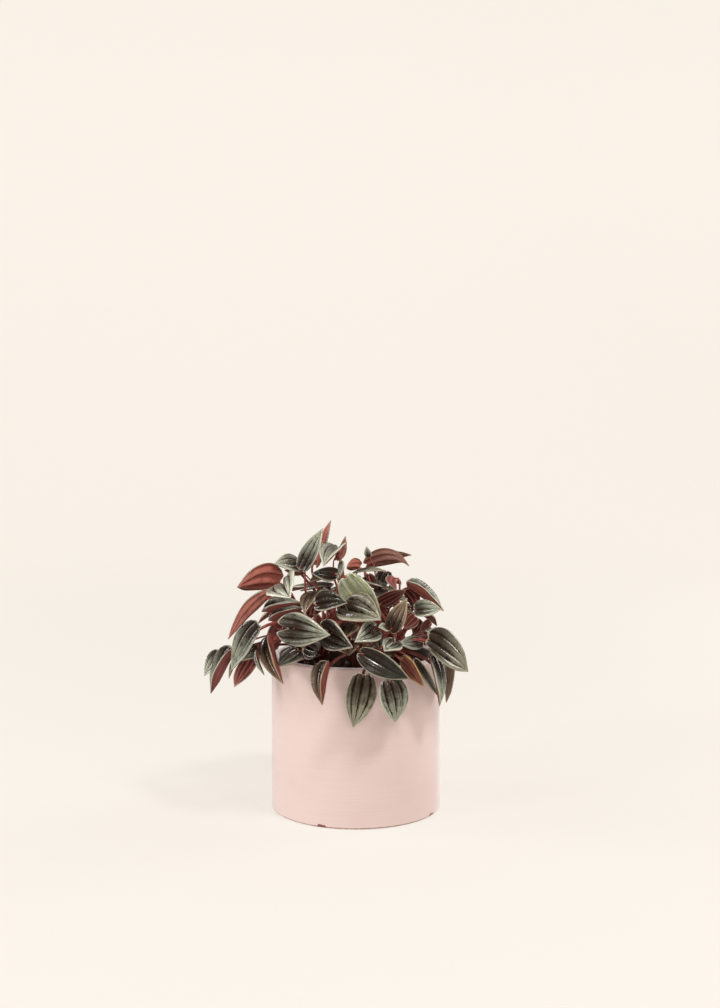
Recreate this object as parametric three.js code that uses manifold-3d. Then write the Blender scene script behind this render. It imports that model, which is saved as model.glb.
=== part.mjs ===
// A potted peperomia: a pink straight-sided pot, the soil in it and nine leafy stems that grow from the soil.
// Millimetres, +Z up. The origin is the centre of the pot's underside, X runs to the right and -Y to the front.

import * as THREE from "three";
import { mergeVertices } from "three/addons/utils/BufferGeometryUtils.js";
import Module from "manifold-3d";

// Driving dimensions
const POT_RADIUS = 65;
const POT_HEIGHT = 119;
const POT_WALL = 7;
const POT_FLOOR = 9;
const SOIL_BELOW_RIM = 11;
const BLADE_THICKNESS = 0.9;
const PETIOLE_RADIUS = 1.1;
const PETIOLE_SHARE = 0.045; // of the blade's width, for the leaves too small to have the full radius
const CROWN_RADIUS = 5;
const CROWN_RISE = 6; // the crown of a stem stands this far out of the soil
const CROWN_DEPTH = 12; // and this far down in it
const GAP = 0.3; // between pieces that touch
const SHORTEST_EDGE = 0.004; // an edge shorter than this, left where two surfaces cross, is closed up

// Worked out from them
const POT_INNER_RADIUS = POT_RADIUS - POT_WALL;
const SOIL_TOP = POT_HEIGHT - SOIL_BELOW_RIM;
const BASE_EDGE = 1.5;
const RIM_EDGE = 2;
const POT_SEGMENTS = 48;
const SOIL_SEGMENTS = 36;
const CROWN_SEGMENTS = 9;
const PETIOLE_STEPS = 4;

const COLOURS = {
  pot: 0xe8cdc4,
  soil: 0x2b1f1a,
  leaf: 0x5f6b58,
};

// Where each leafy stem stands, from above
const STEMS = {
  centre: [-4, 2],
  front: [2, -34],
  front_left: [-26, -24],
  left: [-36, 2],
  back_left: [-24, 30],
  back: [4, 38],
  back_right: [28, 24],
  right: [36, -4],
  front_right: [26, -30],
};

// The leaves that show from the front, laid by hand: the joint with the leaf stalk, the tip, the width, the way
// the upper face looks [degrees from the front towards the right, degrees up], how far the halves fold up, how
// far the blade arches over, and how far its heart-shaped lobes reach behind the joint, as a share of its length.
const FRONT_LEAVES = {
  centre: [
    [[-30, -8, 190], [-19, -16, 223], 18, [110, -5], 0, 0, 0.1],
    [[-14, -18, 199], [-24, -38, 191], 28, [-30, 55], 45, 15, 0.25],
    [[-15, -14, 194], [-8, -8, 210], 12, [130, 5], 30, 5, 0.1],
    [[-44, -7, 186], [-62, -17, 190], 22, [-5, 50], 25, 15, 0.1],
    [[0, -10, 183], [23, -32, 186], 9, [-5, 70], 10, 25, 0.1],
    [[-40, -10, 183], [-54, -16, 185], 12, [180, 40], 10, 20, 0.1],
  ],
  front: [
    [[24, -81, 113], [28, -74, 82], 24, [25, 20], 10, 60, 0.1],
    [[5, -79, 133], [39, -76, 114], 20, [-30, 15], 30, 45, 0.1],
    [[-19, -73, 124], [-24, -80, 96], 26, [-65, 60], 55, 10, 0.1],
    [[11, -69, 147], [-1, -83, 142], 19, [10, 20], 30, 30, 0.4],
    [[27, -74, 139], [20, -86, 136], 15, [20, 60], 10, 5, 0.4],
    [[18, -42, 164], [37, -49, 175], 12, [185, 20], 0, 5, 0.1],
    [[26, -66, 149], [37, -65, 171], 14, [-5, 30], 10, 25, 0.15],
    [[55, -55, 123], [61, -61, 91], 26, [75, 50], 25, 20, 0.2],
    [[43, -71, 126], [60, -59, 98], 9, [-15, 40], 45, 0, 0.1],
    [[-36, -72, 137], [-28, -58, 131], 18, [-10, 10], 35, 20, 0.25],
    [[22, -66, 149], [16, -72, 151], 8, [0, 40], 20, 15, 0.1],
  ],
  front_left: [
    [[-61, -58, 140], [-52, -78, 111], 26, [-95, 45], 55, 10, 0.1],
    [[-17, -71, 147], [-2, -87, 139], 26, [-15, -10], 30, -5, 0.4],
    [[-4, -65, 161], [18, -79, 157], 35, [0, 50], 30, 10, 0.3],
    [[-6, -51, 183], [19, -49, 155], 28, [-40, 15], 25, 20, 0.1],
    [[-28, -70, 166], [-6, -69, 168], 22, [5, 50], 30, 35, 0.1],
    [[-28, -49, 171], [-37, -64, 159], 21, [-40, 10], 35, 25, 0.15],
    [[-15, -32, 184], [-33, -26, 184], 13, [-5, 40], 0, 20, 0.15],
    [[-11, -30, 193], [-12, -32, 181], 11, [-65, -15], 0, 10, 0.1],
    [[-42, -63, 132], [-56, -71, 122], 17, [-10, 55], 5, 30, 0.1],
  ],
  left: [
    [[-70, -63, 149], [-91, -54, 116], 27, [-30, 35], 40, 0, 0.1],
    [[-92, -31, 125], [-110, -22, 92], 26, [-25, 65], 55, -5, 0.1],
    [[-59, -9, 175], [-88, -38, 175], 32, [190, 30], 30, 30, 0.1],
    [[-53, -41, 176], [-47, -66, 171], 31, [-30, 35], 30, 20, 0.3],
    [[-66, -30, 167], [-95, -37, 136], 22, [-120, 20], 25, 20, 0.15],
    [[-44, -79, 151], [-18, -87, 148], 25, [15, -5], 10, 5, 0.45],
    [[-63, -43, 158], [-40, -53, 166], 19, [-40, 60], 55, 15, 0.25],
    [[-61, -38, 150], [-38, -40, 160], 18, [-50, 70], 55, 0, 0.15],
    [[-39, -26, 188], [-25, -18, 217], 17, [-25, 10], 30, 0, 0.1],
    [[-86, -26, 124], [-95, -34, 106], 10, [-70, 20], 30, 20, 0.1],
    [[-73, -46, 128], [-67, -56, 113], 9, [-85, 10], 30, 20, 0.1],
    [[-73, -34, 129], [-84, -44, 121], 15, [-10, 45], 10, 20, 0.1],
  ],
  back_left: [
    [[-79, -28, 120], [-89, -56, 104], 16, [160, 25], 10, 0, 0.1],
    [[-106, 4, 118], [-117, 0, 101], 14, [-20, 30], 15, 20, 0.1],
  ],
  back_right: [
    [[71, -28, 118], [68, -27, 86], 17, [110, 0], 5, 5, 0.1],
  ],
  right: [
    [[10, 15, 186], [40, -14, 188], 20, [190, 25], 30, 70, 0.1],
    [[15, 17, 191], [43, 15, 193], 12, [155, 40], 5, 20, 0.1],
    [[2, 7, 185], [-7, -4, 186], 14, [205, 20], 40, 30, 0.35],
    [[10, -24, 182], [16, -22, 170], 8, [145, 5], 5, 15, 0.15],
    [[23, -14, 183], [17, -20, 170], 14, [-20, 25], 20, 15, 0.1],
    [[10, 4, 193], [8, 2, 201], 6, [-20, 20], 15, 10, 0.1],
  ],
  front_right: [
    [[5, -81, 117], [-2, -73, 78], 26, [10, 10], 30, 15, 0.1],
    [[30, -24, 180], [30, -37, 173], 17, [-100, -10], 55, 25, 0.1],
    [[37, -17, 169], [43, -33, 160], 16, [180, 15], 50, 70, 0.15],
    [[39, -19, 173], [66, -22, 155], 24, [50, 75], 55, -5, 0.1],
    [[44, -48, 159], [63, -48, 160], 17, [5, 45], 25, 20, 0.1],
    [[53, -63, 140], [83, -44, 113], 31, [35, 30], 25, 20, 0.1],
    [[35, -72, 127], [49, -79, 109], 16, [155, 40], 0, 0, 0.15],
    [[47, -53, 137], [31, -61, 137], 12, [10, 40], 0, 0, 0.15],
    [[49, -40, 149], [42, -46, 141], 12, [180, 25], 15, 20, 0.1],
    [[55, -46, 150], [47, -50, 144], 9, [180, 35], 15, 20, 0.1],
    [[43, -56, 156], [35, -60, 148], 12, [175, 10], 10, 20, 0.1],
  ],
};

// The leaves at the back and inside follow rings round the plant's middle: the stems that they grow on in turn,
// the arc [degrees from +X], the joint's and the tip's [radius, height], the width and how far up they look.
const RING_MIDDLE = [-6, 0];
const RING_SEED = 299;
const RINGS = [
  {
    stems: ["back_right", "centre", "back", "back", "back", "back_left", "back_left", "back_left"],
    arc: [22, 150], joint: [74, 128], tip: [82, 96], width: 23, up: 15, fold: 12, arch: 25, lobe: 0.2,
  },
  {
    stems: ["back_right", "back_right", "centre", "back", "back", "back_left", "back_left", "back_left"],
    arc: [-10, 165], joint: [52, 146], tip: [76, 130], width: 24, up: 45, fold: 14, arch: 25, lobe: 0.25,
  },
  {
    stems: ["right", "right", "back", "back", "back_left", "centre"],
    arc: [-10, 160], joint: [28, 166], tip: [56, 160], width: 23, up: 60, fold: 12, arch: 25, lobe: 0.25,
  },
  {
    stems: ["front_left", "front_left", "front"],
    arc: [205, 325], joint: [26, 140], tip: [50, 132], width: 22, up: 40, fold: 15, arch: 20, lobe: 0.2,
  },
  {
    stems: ["centre", "centre", "front_left", "right", "right"],
    arc: [150, 390], joint: [16, 174], tip: [38, 170], width: 20, up: 55, fold: 12, arch: 20, lobe: 0.2,
  },
  {
    stems: ["front_left", "front", "front_right"],
    arc: [195, 345], joint: [34, 124], tip: [54, 121], width: 20, up: 45, fold: 12, arch: 20, lobe: 0.2,
  },
  {
    stems: ["left", "centre", "centre", "right", "right"],
    arc: [175, 365], joint: [34, 163], tip: [52, 156], width: 19, up: 45, fold: 14, arch: 20, lobe: 0.2,
  },
];

// Where a blade is sampled: along it from its lobes to just short of its tip, and across it from edge to edge,
// on its furrows (0 and 0.56) and on the ridges between them. A narrower leaf has fewer rows, or one furrow.
const BLADE_GRIDS = [
  { narrowerThan: 15.5, along: [0, 0.2, 0.6], across: [-1, -0.4, 0, 0.4, 1] },
  { narrowerThan: 24, along: [0, 0.2, 0.6], across: [-1, -0.56, -0.28, 0, 0.28, 0.56, 1] },
  { narrowerThan: 99, along: [0, 0.16, 0.42, 0.72], across: [-1, -0.56, -0.28, 0, 0.28, 0.56, 1] },
];
// The corners of a petiole's section: forwards along the leaf, and sideways across it
const SECTION = [[-0.5, -0.87], [-0.5, 0.87], [1, 0]];
const FURROW_PITCH = 0.56;
const FURROW_DEPTH = 0.045; // of the width

const wasm = await Module();
wasm.setup();

const radians = THREE.MathUtils.degToRad;
const vector = ([x, y, z]) => new THREE.Vector3(x, y, z);

function solidOf(geometry) {
  geometry.deleteAttribute("normal");
  geometry.deleteAttribute("uv");
  const merged = mergeVertices(geometry, 1e-4);
  return new wasm.Manifold(
    new wasm.Mesh({
      numProp: 3,
      vertProperties: new Float32Array(merged.attributes.position.array),
      triVerts: new Uint32Array(merged.index.array),
    }),
  );
}

// The geometry of a joined solid, with the edges too short to matter closed up: both ends move to one of them
function geometryOf(solid) {
  const { vertProperties: points, triVerts: corners } = solid.getMesh();
  const kept = Array.from({ length: points.length / 3 }, (_, point) => point);
  const resolved = (point) => (kept[point] === point ? point : resolved(kept[point]));
  const at = (point) => new THREE.Vector3().fromArray(points, 3 * point);
  for (let corner = 0; corner < corners.length; corner++) {
    const next = corner % 3 === 2 ? corner - 2 : corner + 1;
    const [a, b] = [resolved(corners[corner]), resolved(corners[next])];
    if (a !== b && at(a).distanceTo(at(b)) < SHORTEST_EDGE) kept[Math.max(a, b)] = Math.min(a, b);
  }
  const positions = [];
  for (let corner = 0; corner < corners.length; corner += 3) {
    const [a, b, c] = [0, 1, 2].map((k) => resolved(corners[corner + k]));
    if (a !== b && b !== c && c !== a) positions.push(...at(a), ...at(b), ...at(c));
  }
  const geometry = new THREE.BufferGeometry();
  geometry.setAttribute("position", new THREE.Float32BufferAttribute(positions, 3));
  geometry.computeVertexNormals();
  return geometry;
}

// A profile of [radius, height] points turned round the Z axis
function turned(profile, segments) {
  const points = profile.map(([radius, height]) => new THREE.Vector2(radius, height));
  return new THREE.LatheGeometry(points, segments).rotateX(Math.PI / 2);
}

// The points of a quarter round about [radius, height], from one angle to another in degrees
function rounded([radius, height], size, from, to) {
  return [from, (from + to) / 2, to].map((angle) => [
    radius + size * Math.cos(radians(angle)),
    height + size * Math.sin(radians(angle)),
  ]);
}

// The pot: a plain cylinder with a rounded rim and a slightly eased base edge
function pot() {
  const profile = [
    [0, 0],
    ...rounded([POT_RADIUS - BASE_EDGE, BASE_EDGE], BASE_EDGE, -90, 0),
    ...rounded([POT_RADIUS - RIM_EDGE, POT_HEIGHT - RIM_EDGE], RIM_EDGE, 0, 90),
    ...rounded([POT_INNER_RADIUS + RIM_EDGE, POT_HEIGHT - RIM_EDGE], RIM_EDGE, 90, 180),
    [POT_INNER_RADIUS, POT_FLOOR],
    [0, POT_FLOOR],
  ];
  return turned(profile, POT_SEGMENTS);
}

// The soil fills the pot from its floor, rises a little to the middle, and has a plain hole for each stem
function soil() {
  const radius = POT_INNER_RADIUS - GAP;
  const edge = 2;
  const profile = [
    [0, POT_FLOOR + GAP],
    [radius, POT_FLOOR + GAP],
    [radius, SOIL_TOP - edge],
    [radius - edge, SOIL_TOP - edge / 2],
    [radius * 0.6, SOIL_TOP],
    [0, SOIL_TOP],
  ];
  let solid = solidOf(turned(profile, SOIL_SEGMENTS));
  for (const [x, y] of Object.values(STEMS)) {
    const hole = [
      [0, SOIL_TOP - CROWN_DEPTH - GAP],
      [CROWN_RADIUS + GAP, SOIL_TOP - CROWN_DEPTH - GAP],
      [CROWN_RADIUS + GAP, SOIL_TOP + CROWN_RISE],
      [0, SOIL_TOP + CROWN_RISE],
    ];
    solid = solid.subtract(solidOf(turned(hole, CROWN_SEGMENTS).translate(x, y, 0)));
  }
  return geometryOf(solid);
}

// The crown: the short thick stem that the leaf stalks spring from
function crown([x, y]) {
  const profile = [
    [0, SOIL_TOP - CROWN_DEPTH],
    [CROWN_RADIUS, SOIL_TOP - CROWN_DEPTH],
    [CROWN_RADIUS, SOIL_TOP + CROWN_RISE / 2],
    [CROWN_RADIUS * 0.6, SOIL_TOP + CROWN_RISE],
    [0, SOIL_TOP + CROWN_RISE],
  ];
  return solidOf(turned(profile, CROWN_SEGMENTS).translate(x, y, 0));
}

// A leaf's own directions: along it, across it, and out of its upper face
function directions({ joint, tip, looks }) {
  const along = tip.clone().sub(joint).normalize();
  const [side, up] = looks.map(radians);
  const face = new THREE.Vector3(
    Math.sin(side) * Math.cos(up),
    -Math.cos(side) * Math.cos(up),
    Math.sin(up),
  );
  const out = face.addScaledVector(along, -face.dot(along)).normalize();
  const across = new THREE.Vector3().crossVectors(out, along);
  return { along, across, out };
}

// The point in the middle of a blade's thickness at t along it (0 lobes, 1 tip) and s across it (-1 to 1).
// The half-width is a formula that is widest near the joint, the halves fold up by an angle and roll off
// towards the edge, the blade arches from joint to tip, and furrows run along it between raised ridges.
function bladePoint(leaf, t, s) {
  const { along, across, out } = leaf.directions;
  const length = leaf.joint.distanceTo(leaf.tip);
  const fullness = 0.75 - leaf.lobe;
  const widest = Math.max(0, (fullness - 0.132) / (fullness + 1.1));
  const outline = (at) => (at + 0.12) ** fullness * (1 - at) ** 1.1;
  const half = (leaf.width / 2) * (outline(t) / outline(widest));
  const notch = 1 - 0.65 * Math.exp(-((s / 0.2) ** 2));
  const lobe = leaf.lobe * length * Math.sqrt(Math.max(0, 1 - s * s)) * notch;
  const u = length * t - lobe * (1 - t) ** 2;
  const share = u / length;
  const sag = Math.tan(radians(leaf.arch) / 4) / 2;
  const lift = Math.tan(radians(60 * leaf.lobe - 8));
  const arch = 4 * sag * share * (1 - share) * length + (u < 0 ? -u * lift : 0);
  const fold = radians(leaf.fold);
  const edge = Math.abs(s);
  const fade = Math.min(1, t / 0.15 + 0.3, (1 - t) / 0.3);
  const furrow = -FURROW_DEPTH * leaf.width * Math.cos((2 * Math.PI * s) / FURROW_PITCH) * fade;
  const rise = half * (edge * Math.sin(fold) - 0.22 * edge * edge + 0.07) + furrow;
  return leaf.joint
    .clone()
    .addScaledVector(along, u)
    .addScaledVector(across, half * s * Math.cos(fold))
    .addScaledVector(out, arch + rise);
}

// The direction square to the blade's upper face at a point of it
function bladeNormal(leaf, t, s) {
  const step = 1e-3;
  const atT = THREE.MathUtils.clamp(t, 0.02, 0.97);
  const atS = THREE.MathUtils.clamp(s, -0.97, 0.97);
  const alongIt = bladePoint(leaf, atT + step, atS).sub(bladePoint(leaf, atT - step, atS));
  const acrossIt = bladePoint(leaf, atT, atS + step).sub(bladePoint(leaf, atT, atS - step));
  const normal = alongIt.cross(acrossIt).normalize();
  return normal.dot(leaf.directions.out) < 0 ? normal.negate() : normal;
}

// The rings of a petiole, from its blade down to its root inside the crown. Each ring is a triangle across the
// path, and is carried along it without twisting, starting from the blade's own across direction.
function petioleRings(leaf, [x, y]) {
  const { along, across, out } = leaf.directions;
  const rootReach = 2.5;
  const rootHeight = SOIL_TOP + 2;
  const radius = Math.min(PETIOLE_RADIUS, PETIOLE_SHARE * leaf.width);
  const outwards = new THREE.Vector3(leaf.joint.x - x, leaf.joint.y - y, 0).normalize();
  const root = new THREE.Vector3(x, y, rootHeight).addScaledVector(outwards, rootReach);
  const reach = leaf.joint.distanceTo(root);
  const rising = root.clone().addScaledVector(outwards, 0.06 * reach);
  rising.z += 0.5 * reach;
  const arriving = leaf.joint
    .clone()
    .addScaledVector(out, -0.15 * reach)
    .addScaledVector(along, -0.18 * reach);
  const end = leaf.joint
    .clone()
    .addScaledVector(out, -BLADE_THICKNESS / 2 - 0.8 * radius)
    .addScaledVector(along, 0.04 * leaf.joint.distanceTo(leaf.tip));
  const path = new THREE.CubicBezierCurve3(end, arriving, rising, root);
  const side = across.clone();
  const rings = [];
  for (let step = 0; step <= PETIOLE_STEPS; step++) {
    const at = step / PETIOLE_STEPS;
    const centre = path.getPoint(at);
    const towardsBlade = path.getTangent(at).negate();
    side.addScaledVector(towardsBlade, -side.dot(towardsBlade)).normalize();
    const front = new THREE.Vector3().crossVectors(side, towardsBlade);
    for (const [forwards, sideways] of SECTION) {
      rings.push(
        centre
          .clone()
          .addScaledVector(front, forwards * radius)
          .addScaledVector(side, sideways * radius),
      );
    }
  }
  return rings;
}

// A leaf is one thin closed body: an upper and a lower face of the same triangles, joined round the edge. Under
// the joint the lower face opens in a collar of triangles into the petiole, which runs down into the crown.
function leafBody(leaf, place) {
  const grid = BLADE_GRIDS.find(({ narrowerThan }) => leaf.width < narrowerThan);
  const { along: rows, across: columns } = grid;
  const stations = rows.flatMap((t) => columns.map((s) => [t, s]));
  stations.push([1, 0]);
  const count = stations.length;
  const upper = [];
  const lower = [];
  for (const [t, s] of stations) {
    const middle = bladePoint(leaf, t, s);
    const normal = bladeNormal(leaf, t, s).multiplyScalar(BLADE_THICKNESS / 2);
    upper.push(middle.clone().add(normal));
    lower.push(middle.clone().sub(normal));
  }
  const wide = columns.length;
  const tip = count - 1;
  const rib = (wide - 1) / 2;
  const index = [];
  for (let row = 0; row < rows.length; row++) {
    for (let column = 0; column < wide - 1; column++) {
      const a = row * wide + column;
      const last = row === rows.length - 1;
      const faces = last
        ? [[a, tip, a + 1]]
        : [[a, a + wide, a + wide + 1], [a, a + wide + 1, a + 1]];
      const underJoint = row === 0 && (column === rib - 1 || column === rib);
      for (const [p, q, r] of faces) {
        index.push(p, q, r);
        if (!underJoint) index.push(p + count, r + count, q + count);
      }
    }
  }
  const base = columns.map((_, column) => column);
  const right = rows.map((_, row) => row * wide + wide - 1);
  const left = rows.map((_, row) => row * wide).reverse();
  const rim = [...base, ...right.slice(1), tip, ...left.slice(0, -1)];
  rim.forEach((a, at) => {
    const b = rim[(at + 1) % rim.length];
    index.push(a, b + count, a + count, a, b, b + count);
  });
  const collar = [rib - 1, rib, rib + 1, wide + rib + 1, wide + rib, wide + rib - 1];
  const [h0, h1, h2, h3, h4, h5] = collar.map((point) => point + count);
  const top = 2 * count;
  const [r0, r1, r2] = [top, top + 1, top + 2];
  index.push(h0, h1, r0, h1, r1, r0, h1, h2, r1, h2, h3, r1, h3, r2, r1);
  index.push(h3, h4, r2, h4, h5, r2, h5, r0, r2, h5, h0, r0);
  const sides = SECTION.length;
  for (let step = 0; step < PETIOLE_STEPS; step++) {
    for (let side = 0; side < sides; side++) {
      const a = top + step * sides + side;
      const b = top + step * sides + ((side + 1) % sides);
      index.push(a, b, b + sides, a, b + sides, a + sides);
    }
  }
  const foot = top + PETIOLE_STEPS * sides;
  index.push(foot, foot + 1, foot + 2);
  const points = [...upper, ...lower, ...petioleRings(leaf, place)];
  return solidOf(new THREE.BufferGeometry().setFromPoints(points).setIndex(index));
}

function makeLeaf([joint, tip, width, looks, fold, arch, lobe]) {
  const leaf = { joint: vector(joint), tip: vector(tip), width, looks, fold, arch, lobe };
  leaf.directions = directions(leaf);
  return leaf;
}

// A plain repeatable draw from 0 to 1
function draws(seed) {
  let state = seed;
  return () => {
    state = (state * 16807) % 2147483647;
    return state / 2147483647;
  };
}

// The leaves of one ring, each a little off its even place and every other one higher
function ringLeaves(ring, draw) {
  const count = ring.stems.length;
  const [from, to] = ring.arc;
  return ring.stems.map((stem, at) => {
    const angle = from + ((to - from) * (at + 0.5)) / count + (draw() - 0.5) * 10;
    const outer = (draw() - 0.5) * 6;
    const higher = (draw() - 0.5) * 6 + ((at % 2) - 0.5) * 9;
    const width = ring.width * (0.9 + 0.25 * draw());
    const swing = (draw() - 0.5) * 20;
    const up = ring.up + (draw() - 0.5) * 20;
    const place = ([radius, height], degrees) => [
      RING_MIDDLE[0] + (radius + outer) * Math.cos(radians(degrees)),
      RING_MIDDLE[1] + (radius + outer) * Math.sin(radians(degrees)),
      height + higher,
    ];
    const joint = place(ring.joint, angle);
    const tip = place(ring.tip, angle + swing / 2);
    const looks = [angle + 90 + swing, up];
    return { stem, row: [joint, tip, width, looks, ring.fold, ring.arch, ring.lobe] };
  });
}

function leavesByStem() {
  const leaves = Object.fromEntries(Object.keys(STEMS).map((stem) => [stem, []]));
  for (const [stem, rows] of Object.entries(FRONT_LEAVES)) leaves[stem].push(...rows);
  const draw = draws(RING_SEED);
  for (const ring of RINGS) {
    for (const { stem, row } of ringLeaves(ring, draw)) leaves[stem].push(row);
  }
  return leaves;
}

// One leafy stem: its crown with every petiole and blade that grows from it, fused into one body
function leafyStem(place, rows) {
  let solid = crown(place);
  for (const row of rows) {
    const leaf = makeLeaf(row);
    solid = solid.add(leafBody(leaf, place));
  }
  return geometryOf(solid);
}

function named(name, geometry, colour, roughness) {
  const mesh = new THREE.Mesh(
    geometry,
    new THREE.MeshStandardMaterial({ color: colour, roughness, metalness: 0 }),
  );
  mesh.name = name;
  return mesh;
}

const plant = new THREE.Group();
plant.add(named("pot", pot(), COLOURS.pot, 0.6));
plant.add(named("soil", soil(), COLOURS.soil, 1));
for (const [stem, rows] of Object.entries(leavesByStem())) {
  plant.add(named(`leafy_stem_${stem}`, leafyStem(STEMS[stem], rows), COLOURS.leaf, 0.45));
}

export default plant;
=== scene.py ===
import math

import bmesh
import bpy
import numpy as np
from mathutils import Matrix, Vector, noise


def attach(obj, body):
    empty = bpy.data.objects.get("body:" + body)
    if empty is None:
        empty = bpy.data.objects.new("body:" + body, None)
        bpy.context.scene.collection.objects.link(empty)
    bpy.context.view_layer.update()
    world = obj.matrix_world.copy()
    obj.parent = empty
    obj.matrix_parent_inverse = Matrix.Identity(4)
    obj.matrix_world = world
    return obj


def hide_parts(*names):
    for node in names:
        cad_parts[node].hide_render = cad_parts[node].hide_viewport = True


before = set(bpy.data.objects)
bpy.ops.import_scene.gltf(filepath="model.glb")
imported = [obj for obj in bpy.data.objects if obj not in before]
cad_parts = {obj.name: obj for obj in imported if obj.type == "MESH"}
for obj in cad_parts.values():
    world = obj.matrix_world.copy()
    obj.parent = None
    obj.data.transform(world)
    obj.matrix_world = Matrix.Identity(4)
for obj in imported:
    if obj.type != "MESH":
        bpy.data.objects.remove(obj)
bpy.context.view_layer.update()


# The pot: a straight-sided cylinder of thrown and turned earthenware with walls about 7 mm thick, a rounded
# rim and an eased base edge. It is brushed round with a chalky pink paint, which has rubbed and chipped along
# the base and shows the brown clay there; painted shade also darkens the foot where it meets the floor. It
# simply stands on its flat underside.
MM = 0.001
POT_RADIUS = 65 * MM
POT_HEIGHT = 119 * MM
POT_INNER_RADIUS = 58 * MM
POT_FLOOR = 9 * MM
BASE_EDGE = 1.5 * MM
RIM_EDGE = 2 * MM
TURNING_PITCH = 2.4 * MM
TURNING_DEPTH = 0.03 * MM
POT_STEPS = 160
SEAM = 0.02 * MM

CHALKY_PINK = "#cfb8b3"
WORN_PINK = "#caaea8"
PALE_PINK = "#d8c5c0"
BROWN_CLAY = "#7a4535"
INSIDE_CLAY_BROWN = "#4a332b"


def colour(code, alpha=1.0):
    """An sRGB hex value as the linear colour that a socket takes."""
    parts = [int(code[at : at + 2], 16) / 255 for at in (1, 3, 5)]
    linear = [part / 12.92 if part <= 0.04045 else ((part + 0.055) / 1.055) ** 2.4 for part in parts]
    return (*linear, alpha)


def add_node(tree, kind, inputs=None, **settings):
    """Adds a node. A value in inputs is the output that feeds that input, or the number it is set to."""
    node = tree.nodes.new(kind)
    for name, value in settings.items():
        setattr(node, name, value)
    for key, value in (inputs or {}).items():
        if isinstance(value, bpy.types.NodeSocket):
            tree.links.new(value, node.inputs[key])
        else:
            node.inputs[key].default_value = value
    return node


def new_material(name):
    """An empty material and its node tree."""
    material = bpy.data.materials.new(name)
    material.use_nodes = True
    material.node_tree.nodes.clear()
    return material, material.node_tree


SMOOTH = {"interpolation_type": "SMOOTHSTEP"}
COLOURS = {"data_type": "RGBA"}
MULTIPLY = {"operation": "MULTIPLY"}
ADD = {"operation": "ADD"}


def turn(bm, profile, steps):
    """Turns a profile of [radius, height] points once round the Z axis, and closes its poles."""
    points = [bm.verts.new((radius, 0, height)) for radius, height in profile]
    edges = [bm.edges.new(pair) for pair in zip(points, points[1:])]
    before = set(bm.verts) - set(points)
    bmesh.ops.spin(
        bm,
        geom=points + edges,
        cent=(0, 0, 0),
        axis=(0, 0, 1),
        angle=2 * math.pi,
        steps=steps,
        use_merge=True,
    )
    made = [vert for vert in bm.verts if vert not in before]
    bmesh.ops.remove_doubles(bm, verts=made, dist=SEAM)
    return [vert for vert in bm.verts if vert not in before]


def rounded(centre, size, start, end, count):
    """The points of a round of that size about [radius, height], between two angles in degrees."""
    angles = [math.radians(start + (end - start) * at / count) for at in range(count + 1)]
    return [(centre[0] + size * math.cos(angle), centre[1] + size * math.sin(angle)) for angle in angles]


def new_piece(name, bm, materials):
    """Makes the finished mesh an object with these materials, smooth all over."""
    bmesh.ops.recalc_face_normals(bm, faces=bm.faces[:])
    mesh = bpy.data.meshes.new(name)
    bm.to_mesh(mesh)
    bm.free()
    mesh.shade_smooth()
    for material in materials:
        mesh.materials.append(material)
    piece = bpy.data.objects.new(name, mesh)
    bpy.context.scene.collection.objects.link(piece)
    return piece


def pot_wall(radius, start, end, rings):
    """A wall from one height to another, with the faint ridges that turning leaves."""
    heights = [start + (end - start) * at / rings for at in range(1, rings)]
    wave = 2 * math.pi / TURNING_PITCH
    return [(radius - TURNING_DEPTH * (0.5 + 0.5 * math.sin(wave * height)), height) for height in heights]


WALL_RINGS = 240
INNER_WALL_RINGS = 20
top = POT_HEIGHT - RIM_EDGE
profile = [(0, 0), (POT_RADIUS - 4 * BASE_EDGE, 0)]
profile += rounded((POT_RADIUS - BASE_EDGE, BASE_EDGE), BASE_EDGE, -90, 0, 6)
profile += pot_wall(POT_RADIUS, BASE_EDGE, top, WALL_RINGS)
profile += rounded((POT_RADIUS - RIM_EDGE, top), RIM_EDGE, 0, 90, 8)
profile += rounded((POT_INNER_RADIUS + RIM_EDGE, top), RIM_EDGE, 90, 180, 8)
profile += pot_wall(POT_INNER_RADIUS, top, POT_FLOOR, INNER_WALL_RINGS)
profile += [(POT_INNER_RADIUS, POT_FLOOR), (0, POT_FLOOR)]
pot_mesh = bmesh.new()
turn(pot_mesh, profile, POT_STEPS)

# Chalk paint on earthenware: matte and dry, with the faint level streaks of a brush, each about 50 mm long
# and 0.8 mm wide, and a brown line along the base edge that is partly worn paint showing the clay and partly
# painted shade where the pot meets the floor. The bare clay inside and underneath is a dark brown. Each chip
# at the foot has its place in degrees round the pot from +X, and its width.
STREAK_LENGTH = 50 * MM
STREAK_WIDTH = 0.8 * MM
BLOTCH_SIZE = 40 * MM
CHIP_SIZE = 6 * MM
CHIP_SQUAT = 1.8
CHIPS = [(-113, 9 * MM), (-29, 9 * MM), (-160, 4 * MM), (70, 8 * MM)]
CHALK_GRAIN = 0.4 * MM
painted_clay, tree = new_material("chalk_painted_earthenware")
place = add_node(tree, "ShaderNodeTexCoord").outputs["Object"]
height = add_node(tree, "ShaderNodeSeparateXYZ", {0: place}).outputs["Z"]
narrowing = (STREAK_WIDTH / STREAK_LENGTH, STREAK_WIDTH / STREAK_LENGTH, 1)
streaked = add_node(tree, "ShaderNodeMapping", {"Vector": place, "Scale": narrowing}).outputs[0]
look = {"Vector": streaked, "Scale": 1 / STREAK_WIDTH, "Detail": 3}
streaks = add_node(tree, "ShaderNodeTexNoise", look).outputs["Fac"]
blotches = add_node(tree, "ShaderNodeTexNoise", {"Vector": place, "Scale": 1 / BLOTCH_SIZE}).outputs["Fac"]
grain = add_node(tree, "ShaderNodeTexNoise", {"Vector": place, "Scale": 1 / CHALK_GRAIN}).outputs["Fac"]
paler = add_node(tree, "ShaderNodeMapRange", {0: streaks, 1: 0.42, 2: 0.7, 4: 0.25}, **SMOOTH).outputs[0]
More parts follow.
